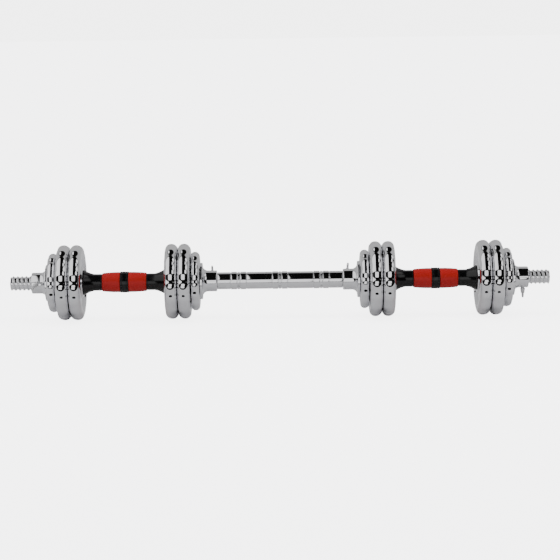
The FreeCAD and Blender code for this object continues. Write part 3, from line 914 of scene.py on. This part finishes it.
class DUMBBELL_OT_wing_screws(bpy.types.Operator):
    """Make the four wing screws that lock the collars"""
    bl_idname = "dumbbell.wing_screws"
    bl_label = "Wing screws"

    def casting(self, s, foot, top):
        """Boss and wings as one smoothed casting, its axis along X."""
        half = s.wing_thickness / 2
        boss = lathe("Boss", rounded([
            (foot, 0), (foot, s.boss, 0.0008), (foot + 0.005, s.boss * 0.82, 0.001),
            (top - 0.0025, s.shank * 1.1, 0.001), (top - 0.0018, 0)],
            closed=False), 40, closed=False)
        parts = [boss]
        for hand in (-1, 1):
            ear = lathe("Ear", rounded([(-half, 0), (-half * 0.8, s.wing, half * 0.9),
                                        (half * 0.8, s.wing, half * 0.9), (half, 0)], closed=False),
                        40, closed=False)
            ear.transform(Matrix.Translation((top, 0, hand * s.wing_offset))
                          @ Matrix.Rotation(math.pi / 2, 4, "Z"))
            arm = lathe("Arm", rounded([
                (0, 0), (0, s.boss * 0.55, 0.001), (s.arm, half * 0.95, 0.001), (s.arm, 0)],
                closed=False), 24, closed=False)
            lean = math.atan2(s.wing_offset, top - foot - 0.002)
            arm.transform(Matrix.Translation((foot + 0.0028, 0, 0))
                          @ Matrix.Rotation(-hand * lean, 4, "Y"))
            parts += [ear, arm]
        carrier = bpy.data.objects.new("Casting", joined("Casting", parts))
        bpy.context.scene.collection.objects.link(carrier)
        remesh = carrier.modifiers.new("Skin", "REMESH")
        remesh.mode = "VOXEL"
        remesh.voxel_size = s.grain
        smooth = carrier.modifiers.new("Soften", "SMOOTH")
        smooth.factor = 0.5
        smooth.iterations = 6
        bpy.context.view_layer.update()
        evaluated = carrier.evaluated_get(bpy.context.evaluated_depsgraph_get())
        made = bpy.data.meshes.new_from_object(evaluated)
        bpy.data.objects.remove(carrier)
        return made

    def execute(self, context):
        s = context.scene.dumbbell_screw
        hub = context.scene.dumbbell_collar.hub
        for end in ENDS:
            node = f"{end}_wing_screw"
            out = screw_direction(end)
            centre = Vector((middle(node, 0), 0, AXIS_HEIGHT))
            foot = hub + s.seat_gap
            top = foot + s.height
            tip = context.scene.dumbbell_thread.crest + s.tip_gap
            casting = self.casting(s, foot, top)
            shank = lathe("Shank", [(tip, 0), (tip, s.shank * 0.7)]
                          + subdivided((tip + 0.0006, s.shank), (foot + 0.002, s.shank), 0.00012)
                          + [(foot + 0.002, s.shank), (foot + 0.002, 0)], 32, closed=False)
            shank = thread_tree().apply(shank, {
                "Pitch": s.pitch, "Root": s.shank * 0.84, "Crest": s.shank, "Top": s.pitch * 0.15,
                "Base": s.pitch * 0.9, "Along": 0.0, "Way": 1.0, "From": 0.0, "To": 1.0,
                "Within": 1.0, "Inside": 0.0, "Finish": finish_named("Bright zinc")})
            spread = self.twist(end, out)
            across = out.cross(spread)
            turn = Matrix((out, across, spread)).transposed().to_4x4()
            finish_piece(f"{node}_cast", joined("Wing screw", [casting, shank]),
                         Matrix.Translation(centre) @ turn, finish_named("Bright zinc"),
                         [node], 45)
        return {"FINISHED"}

    def twist(self, end, out):
        """The direction in which the wings spread, as the frame's own screw has it."""
        node = frame["nodes"][f"{end}_wing_screw"]
        centre = Vector((middle(node.name, 0), 0, AXIS_HEIGHT))
        best, far = Vector((1, 0, 0)), 0.0
        for vertex in node.data.vertices:
            arm = vertex.co - centre
            side = arm - out * arm.dot(out)
            if side.length > far:
                best, far = side, side.length
        return best.normalized()


class DUMBBELL_OT_rod(bpy.types.Operator):
    """Make the connecting rod with its banded tube and threaded sockets"""
    bl_idname = "dumbbell.rod"
    bl_label = "Connecting rod"

    def half_outline(self, s, thread, half, band_radius):
        """From the middle of the rod outwards along its side, then in at the socket."""
        low_radius = s.radius - s.groove_depth
        tiny = 0.00015
        bead, band, groove = s.bead_width / 2, s.band_width / 2, s.groove_width
        bead_radius = band_radius - s.bead_drop
        corners = [(0, bead_radius), (bead, bead_radius, tiny), (bead, low_radius, tiny),
                   (bead + groove, low_radius, tiny), (bead + groove, band_radius, 0.0003),
                   (band, band_radius, 0.0003), (band, low_radius, tiny),
                   (band + groove, low_radius, tiny), (band + groove, s.radius, tiny)]
        centre = s.band_spacing
        second = [(centre - x, *rest) for x, *rest in reversed(corners[1:])]
        second += [(centre + x, *rest) for x, *rest in corners[1:]]
        mouth = [(half, s.radius, s.chamfer), (half, thread.bore + thread.lead)]
        outside = rounded(corners + second + mouth, closed=False, steps=3)
        end = half - s.socket
        neck = end + s.relief
        relief_radius = thread.crest + thread.clearance + s.relief_gap
        inside = subdivided((half - thread.lead, thread.bore), (neck, thread.bore), 0.0005)
        inside += [(neck, thread.bore), (neck, relief_radius), (end, relief_radius), (end, s.inner)]
        return outside + inside

    def execute(self, context):
        s = context.scene.dumbbell_rod
        thread = context.scene.dumbbell_thread
        collar = context.scene.dumbbell_collar
        node = "connecting_rod"
        half = span(node, 0) / 2
        band_radius = span(node, 2) / 2
        right = self.half_outline(s, thread, half, band_radius)
        left = [(-x, r) for x, r in reversed(right)]
        mesh = lathe(node, right[1:] + left[:-1], 96)
        made = thread_tree().apply(mesh, female_sizes(
            thread, Along=BAR_CENTRE, Way=-1.0, From=BAR_CENTRE - half,
            To=BAR_CENTRE - half + s.socket - s.relief))
        for index in (-1, 0, 1):
            made = knurl_tree().apply(made, {
                "Radius": band_radius - s.bead_drop, "End radius": band_radius - s.bead_drop,
                "Bulge": 0.0,
                "Start": index * s.band_spacing - s.bead_width / 2 + 0.0002,
                "Length": s.bead_width - 0.0004, "Rows": 3,
                "Around": round(2 * math.pi * band_radius / collar.knurl_pitch),
                "Point radius": collar.knurl_pitch * 0.6, "Point height": s.bead_drop, "Sides": 4,
                "Finish": finish_named("Polished chrome")})
        finish_piece(f"{node}_turned", made, Matrix.Translation((0, 0, AXIS_HEIGHT)),
                     finish_named("Polished chrome"), [node], 40)
        return {"FINISHED"}


# ---------------------------------------------------------------- studio

def stage_sheet(name, corners, material):
    """A flat stage piece from its corners."""
    mesh = bpy.data.meshes.new(name)
    mesh.from_pydata(corners, [], [list(range(len(corners)))])
    mesh.materials.append(material)
    piece = bpy.data.objects.new(name, mesh)
    bpy.context.scene.collection.objects.link(piece)
    return piece


def rectangle(left, right, front, back, height):
    return [(left, front, height), (right, front, height), (right, back, height),
            (left, back, height)]


class DUMBBELL_OT_studio(bpy.types.Operator):
    """Make the pale floor, the studio that the chrome mirrors, and the camera"""
    bl_idname = "dumbbell.studio"
    bl_label = "Studio"

    def floor(self, s):
        """The floor that is seen, and the strip of it that the chrome mirrors."""
        paint = {"Roughness": 0.7, "Specular IOR Level": 0.1, "Emission Color": (*s.floor, 1)}
        for name, glow, front in (("Floor", s.glow, s.reach), ("Near floor", 0.0, s.near_floor)):
            finish = Finish(f"{name} paint", {**paint, "Emission Strength": glow})
            cloud = finish.noise(3.0)
            finish.feed("Base Color", finish.mix(cloud, shaded(s.floor, 0.985), s.floor))
            sheet = stage_sheet(name, rectangle(-s.reach, s.reach, -front, s.reach, 0.0),
                                finish.material)
            mirrored = name == "Near floor"
            sheet.visible_glossy = mirrored
            for ray in ("camera", "diffuse", "shadow", "transmission", "volume_scatter"):
                setattr(sheet, f"visible_{ray}", not mirrored and ray in ("camera", "shadow"))

    def surround(self, s):
        """The room: plain white to the eye, dark with lit windows to mirrors.

        A direction's lean is its angle out of the plane square to the bars, and
        its pitch is its angle about the bars, from the camera's side upwards.
        """
        world = bpy.data.worlds.new("Studio")
        bpy.context.scene.world = world
        world.use_nodes = True
        tree = Tree(world.node_tree)
        world.node_tree.nodes.clear()
        direction = tree.add("ShaderNodeTexCoord", output=0)
        split = tree.node("ShaderNodeSeparateXYZ", values=(direction,))
        x, y, z = (Socket(tree, split.outputs[k]) for k in range(3))
        lean = tree.call("ARCSINE", x) * (180 / math.pi)
        pitch = tree.call("ARCTAN2", z, -y) * (180 / math.pi)

        def within(value, start, end, edge):
            return (tree.smooth(value, start - edge, start + edge)
                    * tree.smooth(value, end - edge, end + edge, 1.0, 0.0))

        def window(left, right, bottom, top):
            """A lit window, its corners cut by its rounded fall to each side."""
            fall = 7
            lit_share = within(lean, left, right, fall) * within(pitch, bottom, top, fall)
            return tree.smooth(lit_share, 0.25, 0.4)

        dark = within(pitch, -95, 114, 3)
        lit = (window(-78, -14, 22, 106) + window(30, 58, 26, 62) + window(32, 56, 72, 104)
               + window(-26, 22, 2, 14) + window(-34, 14, -18, -2))
        side = tree.smooth(lean, -80, -70, 0.3, 0.0)
        level = (1 - dark) * 0.7 + dark * (lit * 1.7 + side + 0.006)
        mirror = tree.add("ShaderNodeLightPath", output="Is Glossy Ray")
        camera = tree.add("ShaderNodeLightPath", output="Is Camera Ray")
        strength = (mirror * level + camera * s.backdrop
                    + (1 - mirror) * (1 - camera) * s.fill)
        shade = tree.node("ShaderNodeBackground", values={"Strength": strength})
        end = tree.node("ShaderNodeOutputWorld")
        world.node_tree.links.new(shade.outputs[0], end.inputs[0])

    def lamp(self, s):
        light = bpy.data.lights.new("Overhead", "AREA")
        light.shape = "RECTANGLE"
        light.size, light.size_y = 1.6, 1.0
        light.energy = s.key
        lamp = bpy.data.objects.new("Overhead", light)
        lamp.location = (0.1, -0.2, 1.5)
        lamp.rotation_euler = (math.radians(-8), 0, 0)
        lamp.visible_glossy = False
        bpy.context.scene.collection.objects.link(lamp)

    def camera(self, s):
        lens = bpy.data.cameras.new("Camera")
        lens.sensor_width = 36
        lens.angle = s.view
        lens.clip_start, lens.clip_end = 0.05, 60
        camera = bpy.data.objects.new("Camera", lens)
        back = Vector((0, -math.cos(s.elevation), math.sin(s.elevation)))
        camera.location = Vector((0, 0, AXIS_HEIGHT)) + back * s.distance
        aim = (-back).to_track_quat("-Z", "Y").to_matrix().to_4x4()
        camera.rotation_euler = (aim @ Matrix.Rotation(-s.roll, 4, "Z")).to_euler()
        bpy.context.scene.collection.objects.link(camera)
        bpy.context.scene.camera = camera

    def execute(self, context):
        s = context.scene.dumbbell_studio
        self.floor(s)
        self.surround(s)
        self.lamp(s)
        self.camera(s)
        return {"FINISHED"}


# ---------------------------------------------------------------- add-on

GROUPS = {
    "dumbbell_plate": PlateSettings, "dumbbell_thread": ThreadSettings,
    "dumbbell_grip": GripSettings, "dumbbell_collar": CollarSettings,
    "dumbbell_screw": ScrewSettings, "dumbbell_rod": RodSettings,
    "dumbbell_finish": FinishSettings, "dumbbell_studio": StudioSettings,
}
OPERATORS = (DUMBBELL_OT_bars, DUMBBELL_OT_grips, DUMBBELL_OT_plates, DUMBBELL_OT_collars,
             DUMBBELL_OT_wing_screws, DUMBBELL_OT_rod, DUMBBELL_OT_studio)


class DUMBBELL_PT_panel(bpy.types.Panel):
    """Lists the pieces and their settings"""
    bl_label = "Dumbbells"
    bl_idname = "DUMBBELL_PT_panel"
    bl_space_type = "VIEW_3D"
    bl_region_type = "UI"
    bl_category = "Dumbbells"

    def draw(self, context):
        for operator in OPERATORS:
            self.layout.operator(operator.bl_idname)
        for name, group in GROUPS.items():
            box = self.layout.box()
            for key in group.__annotations__:
                box.prop(getattr(context.scene, name), key)


def register():
    for group in GROUPS.values():
        bpy.utils.register_class(group)
    for operator in OPERATORS:
        bpy.utils.register_class(operator)
    bpy.utils.register_class(DUMBBELL_PT_panel)
    for name, group in GROUPS.items():
        setattr(bpy.types.Scene, name, PointerProperty(type=group))


def unregister():
    for name in GROUPS:
        delattr(bpy.types.Scene, name)
    bpy.utils.unregister_class(DUMBBELL_PT_panel)
    for operator in reversed(OPERATORS):
        bpy.utils.unregister_class(operator)
    for group in reversed(GROUPS.values()):
        bpy.utils.unregister_class(group)


def main():
    register()
    bpy.ops.dumbbell.bars()
    bpy.ops.dumbbell.grips()
    bpy.ops.dumbbell.plates()
    bpy.ops.dumbbell.collars()
    bpy.ops.dumbbell.wing_screws()
    bpy.ops.dumbbell.rod()
    bpy.ops.dumbbell.studio()


if __name__ == "__main__":
    main()
